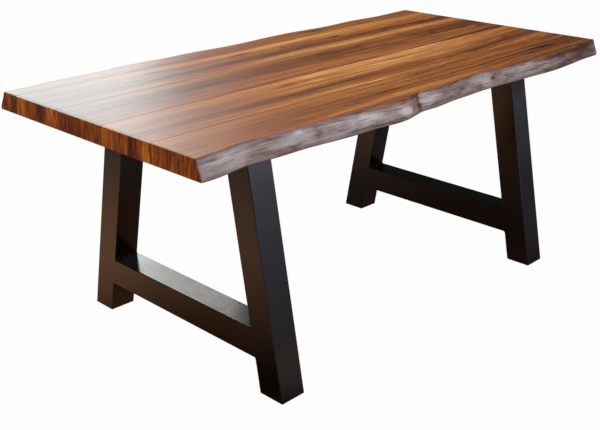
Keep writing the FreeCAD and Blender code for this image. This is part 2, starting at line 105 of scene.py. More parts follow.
# Makes the finished mesh an object that rides on a body and stands for CAD nodes.
def addPiece(name, bm, body, material, replaced):
    mesh = bpy.data.meshes.new(name)
    bm.to_mesh(mesh)
    bm.free()
    mesh.set_sharp_from_angle(angle=math.radians(30))
    mesh.materials.append(material)
    piece = bpy.data.objects.new(name, mesh)
    bpy.context.scene.collection.objects.link(piece)
    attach(piece, body)
    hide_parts(*replaced)
    return piece


camera = {
    "place": (-2.2199, -2.0294, 1.4604),
    "heading": 44.34,  # degrees from +X towards +Y
    "tilt": -18.59,  # degrees above level
    "lens": 57.93,  # mm
    "shiftY": -0.10,
}


def addCamera(c):
    data = bpy.data.cameras.new("camera")
    data.lens = c["lens"]
    data.sensor_width = 36
    data.shift_y = c["shiftY"]
    data.clip_end = 60
    eye = bpy.data.objects.new("camera", data)
    eye.location = c["place"]
    eye.rotation_euler = (math.radians(90 + c["tilt"]), 0, math.radians(c["heading"] - 90))
    bpy.context.scene.collection.objects.link(eye)
    bpy.context.scene.camera = eye


addCamera(camera)
bpy.context.scene.view_settings.view_transform = "Standard"
print("camera set")

# Softboxes: heading from +X towards +Y and height above level, in degrees, as seen from the
# table, then distance and size in metres. One whose "mirrored" is False leaves no highlights.
softboxes = {
    "overheadSoftbox": {"heading": 100, "height": 80, "away": 2.6, "size": (3.2, 2.4),
                        "watts": 70, "colour": "#fffaf2"},
    "backWindow": {"heading": 71, "height": 14.8, "away": 8.0, "size": (3.8, 2.1),
                   "watts": 165, "colour": "#e9f1f1"},
    "backTransom": {"heading": 62.5, "height": 25, "away": 8.0, "size": (3.0, 1.0),
                    "watts": 36, "colour": "#fffdfb"},
    "frontWindow": {"heading": -58, "height": 22, "away": 4.5, "size": (2.6, 1.2),
                    "watts": 52, "colour": "#ecedff"},
    "frontWall": {"heading": -62, "height": 1.5, "away": 8.0, "size": (4.0, 1.4),
                  "watts": 30, "colour": "#f0f1ff"},
    "leftBounce": {"heading": 175, "height": 4, "away": 3.6, "size": (2.4, 1.2),
                   "watts": 26, "colour": "#ffca98", "mirrored": False},
}


def addSoftboxes(boxes):
    aim = Vector((0, 0, 0.6))
    for name, b in boxes.items():
        data = bpy.data.lights.new(name, "AREA")
        data.shape = "RECTANGLE"
        data.size, data.size_y = b["size"]
        data.energy = b["watts"]
        data.color = linear(b["colour"])[:3]
        lamp = bpy.data.objects.new(name, data)
        heading, height = math.radians(b["heading"]), math.radians(b["height"])
        flat = math.cos(height)
        offset = Vector((math.cos(heading) * flat, math.sin(heading) * flat, math.sin(height)))
        lamp.location = aim + offset * b["away"]
        lamp.rotation_euler = offset.to_track_quat("Z", "Y").to_euler()
        lamp.visible_camera = False
        lamp.visible_glossy = b.get("mirrored", True)
        bpy.context.scene.collection.objects.link(lamp)


addSoftboxes(softboxes)

# How bright the white backdrop is for the camera, for glossy and clear surfaces, and as light.
worldLight = {"backdrop": 1.0, "glossyShare": 0.03, "fill": 0.38}


def addWorld(w):
    world = bpy.data.worlds.new("studio")
    bpy.context.scene.world = world
    world.use_nodes = True
    tree = world.node_tree
    tree.nodes.clear()
    path = addNode(tree, "ShaderNodeLightPath")
    mirrored = addNode(tree, "ShaderNodeMath", {
        0: path.outputs["Is Glossy Ray"], 1: path.outputs["Is Transmission Ray"]},
        operation="MAXIMUM")
    unseen = addNode(tree, "ShaderNodeMix", {0: mirrored, 2: w["fill"], 3: w["glossyShare"]},
                     data_type="FLOAT")
    strength = addNode(tree, "ShaderNodeMix", {
        0: path.outputs["Is Camera Ray"], 2: unseen, 3: w["backdrop"]}, data_type="FLOAT")
    light = addNode(tree, "ShaderNodeBackground", {"Color": (1, 1, 1, 1), "Strength": strength})
    addNode(tree, "ShaderNodeOutputWorld", {"Surface": light})


addWorld(worldLight)

# Pale painted floor, lifted towards white for the camera. Glossy surfaces see a painted reflection
# instead: a grey with pools of painted warm and cool daylight and of the table's painted shade.
floorPaint = {
    "paint": "#b9aea2",
    "lift": 0.98,
    "halfSize": 14,  # m
    "paintedReflection": "#777378",
    "paintedReflectionLevel": 1.2,
    "pools": [
        # (colour, centre and reach in m), later ones over earlier ones
        ("#eaecff", (0.8, -6.3, 0), 6.8),
        ("#bdbfcf", (10.5, -6.6, 0), 7.0),
        ("#e8aa7c", (-0.85, 0.75, 0), 1.7),
        ("#464358", (2.95, -0.4, 0), 3.4),
        ("#5c2e05", (-0.6, 0.0, 0), 0.8),
        ("#230f05", (-0.7, -0.35, 0), 0.4),
        ("#55392c", (0.45, -0.05, 0), 1.35),
        ("#a29087", (-0.35, -0.7, 0), 0.5),
    ],
}


def addFloor(f):
    bm = bmesh.new()
    bmesh.ops.create_grid(bm, x_segments=1, y_segments=1, size=f["halfSize"])
    mesh = bpy.data.meshes.new("floor")
    bm.to_mesh(mesh)
    bm.free()
    material, tree, output = newMaterial("paintedStudioFloor")
    path = addNode(tree, "ShaderNodeLightPath")
    place = addNode(tree, "ShaderNodeTexCoord").outputs["Object"]
    seen = linear(f["paintedReflection"])
    # Painted light and shade: each pool blends its colour into what glossy surfaces see.
    for colour, centre, reach in f["pools"]:
        away = addNode(tree, "ShaderNodeVectorMath", {0: place, 1: centre}, operation="DISTANCE")
        pool = addNode(tree, "ShaderNodeMapRange", {
            "Value": away.outputs["Value"], "From Min": reach, "From Max": 0.0},
            interpolation_type="SMOOTHSTEP")
        seen = addNode(tree, "ShaderNodeMix", {0: pool, 6: seen, 7: linear(colour)},
                       data_type="RGBA").outputs[2]
    paint = addNode(tree, "ShaderNodeBsdfDiffuse", {"Color": linear(f["paint"])})
    paintedReflection = addNode(tree, "ShaderNodeEmission", {
        "Color": seen, "Strength": f["paintedReflectionLevel"]})
    unlifted = addNode(tree, "ShaderNodeMixShader", {
        0: path.outputs["Is Glossy Ray"], 1: paint, 2: paintedReflection})
    white = addNode(tree, "ShaderNodeEmission", {"Strength": 1.0})
    lift = addNode(tree, "ShaderNodeMath", {0: path.outputs["Is Camera Ray"], 1: f["lift"]},
                   operation="MULTIPLY")
    mixed = addNode(tree, "ShaderNodeMixShader", {0: lift, 1: unlifted, 2: white})
    tree.links.new(mixed.outputs[0], output.inputs["Surface"])
    mesh.materials.append(material)
    floor = bpy.data.objects.new("floor", mesh)
    bpy.context.scene.collection.objects.link(floor)


addFloor(floorPaint)
print("studio lit")

# One entry for each plank. "live" is -1 or 1 where its front or back side is a live edge. "tones"
# runs across the plank from front to back as (share of its width, tone), where 0 is darkest.
# "shade" adds to the tone along the plank, as (share of the length, step). "glareCalm" is how far
# the tone evens out at the left end, the share of the length that takes, and the tone it comes to.
# At the left end this darker, evener tone is painted to offset the back window's glare there.
# "drift" moves the streaks sideways along the plank, as (share of the length, mm). "knots" are
# (x, y, length, width in mm, depth of tone). On a live edge "bumps" are (x, length, rise in mm),
# "barkKnots" are (x, z, size in mm), and "barkPatchesAndShading" are (x, z, length, height in mm,
# tone, redness), whose tone is partly painted highlight on the bumps' crests and painted shade in
# their creases. Clean wood reaches "bare" mm down from the top and further in the "bareRim"
# places, (x, length, depth in mm).
planks = {
    "frontLiveEdgePlank": {
        "node": "front_live_edge_plank",
        "live": -1,
        "tones": [(0.0, 0.34), (0.14, 0.44), (0.29, 0.54), (0.42, 0.44), (0.53, 0.34), (0.65, 0.46),
                  (0.85, 0.58), (0.95, 0.50), (1.0, 0.42)],
        "shade": [(0.0, -0.06), (0.3, 0.0), (0.5, 0.02), (0.8, -0.08), (1.0, -0.16)],
        "glareCalm": (0.4, 0.35, 0.5),
        "drift": [(0.0, 0), (0.3, 6), (0.55, -4), (0.8, 5), (1.0, 0)],
        "knots": [(72, -284, 46, 16, 0.35), (690, -356, 140, 20, 0.12), (-180, -352, 110, 12, 0.2),
                  (-850, -364, 90, 12, 0.2)],
        "bumps": [(-840, 95, 2.0), (-725, 80, 2.0), (-588, 85, 2.6), (-480, 60, 1.6),
                  (-335, 110, 2.6), (-180, 70, 4.4), (-112, 26, -3.4), (-58, 65, 3.6),
                  (60, 90, 1.6), (240, 60, 2.2), (430, 150, 2.2), (660, 130, 1.2)],
        "barkKnots": [(270, 737, 24), (-176, 731, 44), (30, 742, 22)],
        "barkPatchesAndShading": [
            (-840, 744, 90, 12, 0.14, -0.1), (-785, 712, 50, 7, 0.2, 0.0),
            (-725, 724, 55, 12, -0.12, 0.8), (-640, 716, 60, 10, -0.1, 0.6),
            (-582, 748, 30, 8, 0.26, -0.3), (-595, 724, 60, 9, 0.1, -0.1),
            (-521, 735, 16, 22, -0.16, 0.6), (-450, 746, 60, 7, 0.12, -0.1),
            (-345, 741, 60, 12, 0.18, -0.2), (-250, 716, 60, 9, -0.05, 0.6),
            (-186, 731, 30, 11, 0.27, -0.3), (-140, 738, 20, 30, -0.04, 0.5),
            (-112, 735, 12, 40, -0.26, 0.9), (-42, 739, 34, 9, 0.27, -0.3),
            (-85, 729, 16, 6, 0.22, 0.3), (-50, 718, 50, 7, -0.2, 0.6),
            (60, 718, 80, 9, -0.12, 0.5), (30, 742, 22, 8, -0.12, 0.0),
            (205, 722, 24, 16, -0.18, 0.6), (252, 742, 26, 12, 0.18, -0.3),
            (272, 737, 9, 6, -0.7, 0.2), (320, 738, 50, 14, 0.1, -0.2),
            (470, 744, 110, 6, 0.1, -0.3), (640, 716, 100, 12, -0.14, 0.4),
            (650, 752, 120, 7, -0.2, 0.5), (800, 733, 170, 60, -0.32, 0.5)],
        "bare": 2.0,
        "bareRim": [(-215, 120, 9), (-650, 80, 3), (560, 120, 6), (800, 180, 8)],
        "seed": 3,
    },
    "frontInnerPlank": {
        "node": "front_inner_plank",
        "live": 0,
        "tones": [(0.0, 0.70), (0.05, 0.8), (0.12, 0.54), (0.2, 0.46), (0.29, 0.32), (0.33, 0.12),
                  (0.37, 0.34), (0.46, 0.52), (0.62, 0.6), (0.8, 0.70), (0.93, 0.78), (1.0, 0.84)],
        "shade": [(0.0, -0.08), (0.3, 0.02), (0.5, 0.08), (0.8, 0.0), (1.0, -0.14)],
        "glareCalm": (0.76, 0.42, 0.37),
        "drift": [(0.0, 10), (0.12, 8), (0.45, -2), (0.66, -28), (0.78, -26), (0.95, 12),
                  (1.0, 14)],
        "knots": [(-300, -102, 90, 26, 0.16), (740, -168, 90, 20, 0.34), (330, -222, 130, 14, 0.3)],
        "seed": 11,
    },
    "middlePlank": {
        "node": "middle_plank",
        "live": 0,
        "tones": [(0.0, 0.24), (0.03, 0.42), (0.14, 0.52), (0.3, 0.50), (0.4, 0.44), (0.47, 0.34),
                  (0.57, 0.38), (0.68, 0.24), (0.8, 0.26), (0.9, 0.44), (0.97, 0.56), (1.0, 0.6)],
        "shade": [(0.0, -0.04), (0.35, 0.02), (0.5, -0.02), (0.75, 0.02), (1.0, -0.12)],
        "glareCalm": (0.84, 0.42, 0.17),
        "drift": [(0.0, -6), (0.25, 0), (0.5, 4), (0.75, -2), (1.0, 2)],
        "knots": [(615, 62, 70, 24, 0.5), (776, 36, 60, 20, 0.4), (850, 20, 80, 24, 0.4),
                  (30, 36, 180, 16, 0.25), (-700, 30, 150, 30, 0.14)],
        "seed": 23,
    },
    "backInnerPlank": {
        "node": "back_inner_plank",
        "live": 0,
        "tones": [(0.0, 0.56), (0.04, 0.78), (0.15, 0.76), (0.24, 0.46), (0.31, 0.18), (0.42, 0.2),
                  (0.52, 0.44), (0.64, 0.5), (0.73, 0.68), (0.84, 0.78), (0.93, 0.62), (1.0, 0.5)],
        "shade": [(0.0, -0.06), (0.4, 0.08), (0.6, 0.08), (0.8, 0.02), (1.0, -0.04)],
        "glareCalm": (0.88, 0.6, 0.12),
        "drift": [(0.0, 4), (0.2, -4), (0.5, 2), (0.8, -2), (1.0, -6)],
        "knots": [(62, 268, 80, 22, 0.45), (-118, 290, 80, 20, 0.45), (-482, 292, 90, 18, 0.35),
                  (-850, 282, 60, 14, 0.35), (-590, 243, 120, 18, 0.3), (305, 268, 70, 22, 0.3),
                  (700, 286, 110, 16, 0.35)],
        "seed": 37,
    },
    "backLiveEdgePlank": {
        "node": "back_live_edge_plank",
        "live": 1,
        "tones": [(0.0, 0.5), (0.12, 0.38), (0.4, 0.48), (0.7, 0.42), (1.0, 0.32)],
        "shade": [(0.0, 0.0), (0.5, 0.02), (1.0, -0.02)],
        "glareCalm": (0.84, 0.6, 0.12),
        "drift": [(0.0, 0), (0.35, 5), (0.7, -4), (1.0, 0)],
        "knots": [(340, 386, 90, 16, 0.3)],
        "bumps": [(-790, 100, 2.2), (-640, 80, 1.8), (-470, 110, 2.8), (-380, 26, -3.2),
                  (-300, 80, 2.4), (-120, 90, 2.0), (40, 70, 2.8), (110, 24, -2.6),
                  (190, 90, 2.4), (380, 120, 2.0), (560, 70, 2.6), (740, 110, 1.8)],
        "barkKnots": [(-475, 733, 40), (205, 738, 24), (562, 730, 30)],
        "barkPatchesAndShading": [
            (-800, 730, 90, 30, -0.2, 0.6), (-690, 744, 60, 8, 0.18, -0.2),
            (-560, 716, 80, 9, -0.12, 0.6), (-475, 735, 36, 12, 0.28, -0.3),
            (-380, 735, 14, 40, -0.3, 0.9), (-270, 742, 60, 9, 0.16, -0.2),
            (-130, 718, 90, 8, -0.12, 0.5), (40, 738, 40, 10, 0.24, -0.3),
            (110, 735, 14, 40, -0.28, 0.8), (206, 738, 9, 6, -0.4, 0.2),
            (330, 744, 100, 7, 0.16, -0.2), (450, 716, 80, 10, -0.14, 0.6),
            (562, 733, 34, 11, 0.26, -0.2), (700, 722, 90, 12, -0.14, 0.5)],
        "bare": 4.0,
        "bareRim": [(-620, 140, 7), (60, 90, 5), (640, 150, 8)],
        "seed": 51,
    },
}

# Oiled hardwood: warm brown boards with purple-brown heart streaks and golden sapwood, satin
# along the faces and dull on the sawn ends. Sizes of grain are in mm along the plank, across it
# and through its thickness.
wood = {
    "colours": [(0.0, "#32180b"), (0.14, "#5a3016"), (0.3, "#794520"), (0.5, "#985a2a"),
                (0.66, "#ad6f38"), (0.8, "#bd8246"), (0.92, "#cd9555"), (1.0, "#ddab6b")],
    "heart": "#cdbfb9",  # multiplies the colour where the heartwood turns purple
    "heartShare": 0.45,
    "heartSize": (700, 34, 120),
    "driftRange": 40,  # mm each way that a plank's own drift may reach
    "wander": [((520, 130, 140), 1.5, 22), ((130, 40, 60), 1.0, 6)],  # size, detail, reach in mm
    "streaks": [
        # from broad to fine: (size, share of tone, roughness, whether they fade out in places)
        ((1300, 30, 160), 0.40, 0.5, False),
        ((820, 11, 70), 0.66, 0.6, False),
        ((420, 4.6, 30), 1.9, 0.7, True),
    ],
    "breaks": (340, 34, 60),  # size of the places where the finest streaks fade out
    "glareQuiet": (0.6, 0.5),  # how far all streaks fade towards the left end, and their reach; the fading is painted to offset the back window's glare there
    "pores": [
        # (size, from and to which share of the pattern, depth of tone), open pores and dark
        # hairlines, drawn five times their width so that they show
        ((44, 2.4, 8), 0.60, 0.74, 0.34),
        ((240, 3.0, 20), 0.58, 0.72, 0.32),
    ],
    "ringSpacing": 7.5,
    "ringWaver": 20,  # mm
    "ringDepth": 0.028,
    "pithDepth": 75,  # mm under the top at the middle of the table
    "pithSlope": 0.035,
    "pithOffset": 20,  # mm to either side of the plank's middle at most
    "figure": (760, 52, 90),  # size of the long pointed loops on flat-sawn faces
    "figureLoops": 12,
    "figureTones": [(0.0, 0.8), (0.5, 0.7), (0.8, 0.35), (0.92, 0.0), (0.97, 0.3), (1.0, 0.8)],
    "figureDepth": 0.16,
    # Knots, in half sizes of each: from how far out they pull the grain, and where the ragged
    # core starts and is full. "through" is how fast they end below the top, per metre.
    "knot": {"pullFrom": 2.6, "pull": 0.8, "ragged": 2.4, "coreFrom": 2.3, "coreFull": 1.2,
             "through": 12},
    "endGrain": "#e8d078",  # multiplies the colour on sawn ends, which drink more oil
    "endContrast": 0.9,  # how much stronger the bands are on sawn ends
    "endFineness": 0.16,  # how much of the finest streaks stays there
    "endDarkest": 0.12,  # the tone that they don't go under
    "endShine": 0.2,
    "glueLine": "#2a160d",
    "glueWidth": 1.8,  # mm each side, with the oil that darkens the wood along it
    "roughness": (0.36, 0.34),  # of dark and of light wood
    "shine": 0.5,
    "feel": (0.12, 0.9),  # strength and height in mm of the grain as felt by hand
}


# Moves the grain: a drawn drift along the plank and softer random wandering, in metres.
def grainShift(tree, place, along, p, w):
    drift = setStops(addNode(tree, "ShaderNodeValToRGB", {0: along}),
                     [(share, 0.5 + move / w["driftRange"] / 2) for share, move in p["drift"]],
                     "B_SPLINE")
    moves = [(drift, 2 * w["driftRange"] * mm)]
    for number, (size, detail, reach) in enumerate(w["wander"]):
        pattern = cloudPattern(tree, place, size, p["seed"] + 5 * number, detail)
        moves.append((pattern, reach * mm))
    shift = -sum(reach for source, reach in moves) / 2
    for source, reach in moves:
        shift = addNode(tree, "ShaderNodeMath", {0: source, 1: reach, 2: shift},
                        operation="MULTIPLY_ADD")
    return shift


# Knots push the grain aside and darken their own middle.
def addKnots(tree, place, across, top, knots, k):
    darkening = 0.0
    for kx, ky, length, width, depth in knots:
        offset = addNode(tree, "ShaderNodeVectorMath", {0: place, 1: (kx * mm, ky * mm, top)},
                         operation="SUBTRACT")
        fitted = addNode(tree, "ShaderNodeVectorMath", {
            0: offset, 1: (2 / length / mm, 2 / width / mm, k["through"])}, operation="MULTIPLY")
        distance = addNode(tree, "ShaderNodeVectorMath", {0: fitted}, operation="LENGTH")
        away = distance.outputs["Value"]
        pull = addNode(tree, "ShaderNodeMapRange", {
            "Value": away, "From Min": k["pullFrom"], "From Max": 0.0, "To Max": k["pull"]},
            interpolation_type="SMOOTHSTEP")
        gap = addNode(tree, "ShaderNodeMath", {0: across, 1: ky * mm}, operation="SUBTRACT")
        pulled = addNode(tree, "ShaderNodeMath", {0: gap, 1: pull}, operation="MULTIPLY")
        across = addNode(tree, "ShaderNodeMath", {0: across, 1: pulled}, operation="SUBTRACT")
        torn = cloudPattern(tree, place, (length * 0.4, width * 0.3, 20), kx, 2, 0.7)
        ragged = addNode(tree, "ShaderNodeMath", {0: torn, 1: k["ragged"], 2: away},
                         operation="MULTIPLY_ADD")
        core = addNode(tree, "ShaderNodeMapRange", {
            "Value": ragged, "From Min": k["coreFrom"], "From Max": k["coreFull"],
            "To Max": depth}, interpolation_type="SMOOTHSTEP")
        darkening = addNode(tree, "ShaderNodeMath", {0: darkening, 1: core}, operation="MAXIMUM")
    return across, darkening


# 1 on the sawn ends and 0 on the long faces.
def sawnEnds(tree):
    normal = addNode(tree, "ShaderNodeNewGeometry").outputs["Normal"]
    facing = addNode(tree, "ShaderNodeSeparateXYZ", {0: normal})
    endwise = addNode(tree, "ShaderNodeMath", {0: facing}, operation="ABSOLUTE")
    return addNode(tree, "ShaderNodeMapRange", {
        "Value": endwise, "From Min": 0.75, "From Max": 0.95})


# The plank's tones: drawn across it, shaded along it, and calmed towards the left end, where the
# darker, evener tone is painted to offset the back window's glare.
def boardTone(tree, across, along, sawn, low, high, p):
    width = addNode(tree, "ShaderNodeMapRange", {
        "Value": across, "From Min": low.y, "From Max": high.y})
    drawn = setStops(addNode(tree, "ShaderNodeValToRGB", {0: width}), p["tones"], "B_SPLINE")
    amount, reach, level = p["glareCalm"]
    still = addNode(tree, "ShaderNodeMapRange", {
        "Value": along, "From Min": reach, "From Max": 0.0, "To Max": amount},
        interpolation_type="SMOOTHSTEP")
    glareCalm = addNode(tree, "ShaderNodeMix", {0: sawn, 2: still, 3: 0.0}, data_type="FLOAT")
    tone = addNode(tree, "ShaderNodeMix", {0: glareCalm, 2: drawn, 3: level}, data_type="FLOAT")
    shade = setStops(addNode(tree, "ShaderNodeValToRGB", {0: along}),
                     [(share, 0.5 + step) for share, step in p["shade"]], "B_SPLINE")
    shaded = addNode(tree, "ShaderNodeMath", {0: shade, 1: 0.5}, operation="SUBTRACT")
    return addNode(tree, "ShaderNodeMath", {0: tone, 1: shaded}, operation="ADD")


# Adds the streaks to the tone and returns their patterns too. Sawn ends keep few of the finest
# ones and show the middle ones as bands.
def addStreaks(tree, flow, tone, grainKeptUnderGlare, sawn, w, seed):
    strength = addNode(tree, "ShaderNodeMapRange", {
        "Value": cloudPattern(tree, flow, w["breaks"], seed + 14, 2),
        "From Min": 0.34, "From Max": 0.66, "To Min": 0.3, "To Max": 1.2})
    fineness = addNode(tree, "ShaderNodeMix", {0: sawn, 2: strength, 3: w["endFineness"]},
                       data_type="FLOAT")
    patterns, swings = [], []
    for number, (size, share, roughness, broken) in enumerate(w["streaks"]):
        pattern = cloudPattern(tree, flow, size, seed + number, 2, roughness)
        swing = addNode(tree, "ShaderNodeMath", {0: pattern, 1: 0.5}, operation="SUBTRACT")
        patterns.append(pattern)
        swings.append(swing)
        swing = addNode(tree, "ShaderNodeMath", {0: swing, 1: grainKeptUnderGlare}, operation="MULTIPLY")
        if broken:
            swing = addNode(tree, "ShaderNodeMath", {0: swing, 1: fineness}, operation="MULTIPLY")
        tone = addNode(tree, "ShaderNodeMath", {0: swing, 1: share, 2: tone},
                       operation="MULTIPLY_ADD")
    bands = addNode(tree, "ShaderNodeMath", {0: swings[1], 1: w["endContrast"]},
                    operation="MULTIPLY")
    return tone, patterns, bands


# Growth rings round a pith that lies below the plank and sinks along it.
def growthRings(tree, x, z, across, uneven, low, high, w, seed):
    middle = (low.y + high.y) / 2 + w["pithOffset"] * mm * math.sin(seed)
    ringY = addNode(tree, "ShaderNodeMath", {0: across, 1: middle}, operation="SUBTRACT")
    pith = addNode(tree, "ShaderNodeMath", {
        0: x, 1: w["pithSlope"], 2: high.z - w["pithDepth"] * mm}, operation="MULTIPLY_ADD")
    ringZ = addNode(tree, "ShaderNodeMath", {0: z, 1: pith}, operation="SUBTRACT")
    arm = addNode(tree, "ShaderNodeCombineXYZ", {0: ringY, 1: ringZ})
    radius = addNode(tree, "ShaderNodeVectorMath", {0: arm}, operation="LENGTH")
    wavy = addNode(tree, "ShaderNodeMath", {
        0: uneven, 1: w["ringWaver"] * mm, 2: radius.outputs["Value"]}, operation="MULTIPLY_ADD")
    turns = addNode(tree, "ShaderNodeMath", {
        0: wavy, 1: 2 * math.pi / (w["ringSpacing"] * mm)}, operation="MULTIPLY")
    return addNode(tree, "ShaderNodeMath", {0: turns}, operation="SINE")


# Flat-sawn figure: each loop goes slowly dark and breaks off at its latewood line.
def figureLoops(tree, flow, w, seed):
    hills = cloudPattern(tree, flow, w["figure"], seed + 12, 1, 0.45)
    contour = addNode(tree, "ShaderNodeMath", {0: hills, 1: w["figureLoops"]},
                      operation="MULTIPLY")
    turn = addNode(tree, "ShaderNodeMath", {0: contour}, operation="FRACT")
    late = setStops(addNode(tree, "ShaderNodeValToRGB", {0: turn}), w["figureTones"])
    return addNode(tree, "ShaderNodeMath", {0: late, 1: 0.5}, operation="SUBTRACT")


# How deep the tone drops in open pores and dark hairlines.
def openPores(tree, flow, w, seed):
    gaping = 0.0
    for number, (size, start, full, depth) in enumerate(w["pores"]):
        pore = addNode(tree, "ShaderNodeMapRange", {
            "Value": cloudPattern(tree, flow, size, seed + 4 + 3 * number, 1),
            "From Min": start, "From Max": full, "To Max": depth}, interpolation_type="SMOOTHSTEP")
        gaping = addNode(tree, "ShaderNodeMath", {0: pore, 1: gaping}, operation="MAXIMUM")
    return gaping


# Colour for the tone, with the heartwood's cast, the oil in the sawn ends and the glue lines.
def woodColour(tree, flow, tone, sawn, seamShare, w, seed):
    colour = setStops(addNode(tree, "ShaderNodeValToRGB", {0: tone}), w["colours"])
    castShare = addNode(tree, "ShaderNodeMapRange", {
        "Value": cloudPattern(tree, flow, w["heartSize"], seed + 9, 2),
        "From Min": 0.46, "From Max": 0.66, "To Max": w["heartShare"]},
        interpolation_type="SMOOTHSTEP")
    tinted = addNode(tree, "ShaderNodeMix", {0: castShare, 6: colour, 7: linear(w["heart"])},
                     data_type="RGBA", blend_type="MULTIPLY")
    ended = addNode(tree, "ShaderNodeMix", {
        0: sawn, 6: tinted.outputs[2], 7: linear(w["endGrain"])},
        data_type="RGBA", blend_type="MULTIPLY")
    glued = addNode(tree, "ShaderNodeMix", {
        0: seamShare, 6: ended.outputs[2], 7: linear(w["glueLine"])}, data_type="RGBA")
    return glued.outputs[2]


# Brushed sapwood just under the bark: satin, mauve grey, and red-brown where bark lay deeper.
# Sizes are in mm along the edge, into the wood and up the side.
bark = {
    "grey": [(0.06, "#4f3d3b"), (0.32, "#837471"), (0.54, "#a0928f"), (0.85, "#cdc7c9")],
    "red": [(0.06, "#3f261c"), (0.32, "#704738"), (0.54, "#926a58"), (0.85, "#bd9d8d")],
    "split": "#38231d",
    "underRim": "#4b2b20",
    "underRimWidth": 5,
    "fibre": (120, 60, 1.9),
    "sway": ((120, 60, 50), 12),  # size and reach of the fibres' wandering
    "patch": (60, 50, 20),
    "stain": (110, 60, 14),
    "vein": (330, 90, 11),
    "veinWidth": 0.05,  # share of the pattern each side of a vein
    "base": -0.20,  # of the tone, before these shares of fibres, patches and relief; the relief's share is painted shade in hollows and painted highlight on crests
    "shares": (0.44, 0.66, 0.4),
}


# Colour and height of the live edge, with its fibres bent round the bark knots.
def addBark(tree, place, parts, low, p, b):
    x, y, z = parts.outputs
    seed = p["seed"]
    swaySize, swayReach = b["sway"]
    sway = cloudPattern(tree, place, swaySize, seed + 24, 1.0)
    level = addNode(tree, "ShaderNodeMath", {0: sway, 1: swayReach * mm, 2: z},
                    operation="MULTIPLY_ADD")
    for kx, kz, size in p["barkKnots"]:
        offset = addNode(tree, "ShaderNodeVectorMath", {0: place, 1: (kx * mm, 0, kz * mm)},
                         operation="SUBTRACT")
        fitted = addNode(tree, "ShaderNodeVectorMath", {
            0: offset, 1: (1 / size / mm, 0, 1.6 / size / mm)}, operation="MULTIPLY")
        distance = addNode(tree, "ShaderNodeVectorMath", {0: fitted}, operation="LENGTH")
        ring = addNode(tree, "ShaderNodeMapRange", {
            "Value": distance.outputs["Value"], "From Max": 1.3,
            "To Min": size * 0.5 * mm, "To Max": 0.0}, interpolation_type="SMOOTHSTEP")
        level = addNode(tree, "ShaderNodeMath", {0: level, 1: ring}, operation="ADD")
    flow = addNode(tree, "ShaderNodeCombineXYZ", {0: x, 1: y, 2: level})
    fibres = cloudPattern(tree, flow, b["fibre"], seed + 20, 3, 0.6)
    patches = cloudPattern(tree, place, b["patch"], seed + 21, 3, 0.6)
    # The relief paints shade into the live edge's hollows and highlight onto its crests.
    rise, patchTone, patchRed = [
        addNode(tree, "ShaderNodeAttribute", attribute_name=name).outputs["Fac"]
        for name in ("barkReliefShading", "barkToneAndShading", "barkRed")]
    # Patch tone is partly painted: paler on the bumps' crests and darker in their creases.
    tone = addNode(tree, "ShaderNodeMath", {0: patchTone, 1: b["base"]}, operation="ADD")
    for source, share in zip((fibres, patches, rise), b["shares"]):
        tone = addNode(tree, "ShaderNodeMath", {0: source, 1: share, 2: tone},
                       operation="MULTIPLY_ADD")
    stain = cloudPattern(tree, flow, b["stain"], seed + 23, 3, 0.65)
    redness = addNode(tree, "ShaderNodeMath", {0: stain, 1: 1.6, 2: patchRed},
                      operation="MULTIPLY_ADD")
    redShare = addNode(tree, "ShaderNodeMapRange", {
        "Value": redness, "From Min": 0.6, "From Max": 1.5})
    grey = setStops(addNode(tree, "ShaderNodeValToRGB", {0: tone}), b["grey"])
    red = setStops(addNode(tree, "ShaderNodeValToRGB", {0: tone}), b["red"])
    colour = addNode(tree, "ShaderNodeMix", {0: redShare, 6: grey, 7: red}, data_type="RGBA")

    # splits open along the veins, but only where the stain is strong
    veins = cloudPattern(tree, flow, b["vein"], seed + 22, 1.5)
    fromVein = addNode(tree, "ShaderNodeMath", {0: veins, 1: 0.5}, operation="SUBTRACT")
    veinGap = addNode(tree, "ShaderNodeMath", {0: fromVein}, operation="ABSOLUTE")
    vein = addNode(tree, "ShaderNodeMapRange", {
        "Value": veinGap, "From Min": b["veinWidth"], "From Max": 0.0},
        interpolation_type="SMOOTHSTEP")
    ajar = addNode(tree, "ShaderNodeMapRange", {
        "Value": stain, "From Min": 0.44, "From Max": 0.58, "To Max": 0.75})
    crack = addNode(tree, "ShaderNodeMath", {0: vein, 1: ajar}, operation="MULTIPLY")
    cracked = addNode(tree, "ShaderNodeMix", {
        0: crack, 6: colour.outputs[2], 7: linear(b["split"])}, data_type="RGBA")
    rim = addNode(tree, "ShaderNodeMapRange", {
        "Value": z, "From Min": low.z + b["underRimWidth"] * mm, "From Max": low.z,
        "To Max": 0.85}, interpolation_type="SMOOTHSTEP")
    rimmed = addNode(tree, "ShaderNodeMix", {
        0: rim, 6: cracked.outputs[2], 7: linear(b["underRim"])}, data_type="RGBA")
    height = addNode(tree, "ShaderNodeMath", {0: fibres, 1: crack}, operation="SUBTRACT")
    return rimmed.outputs[2], height, fibres


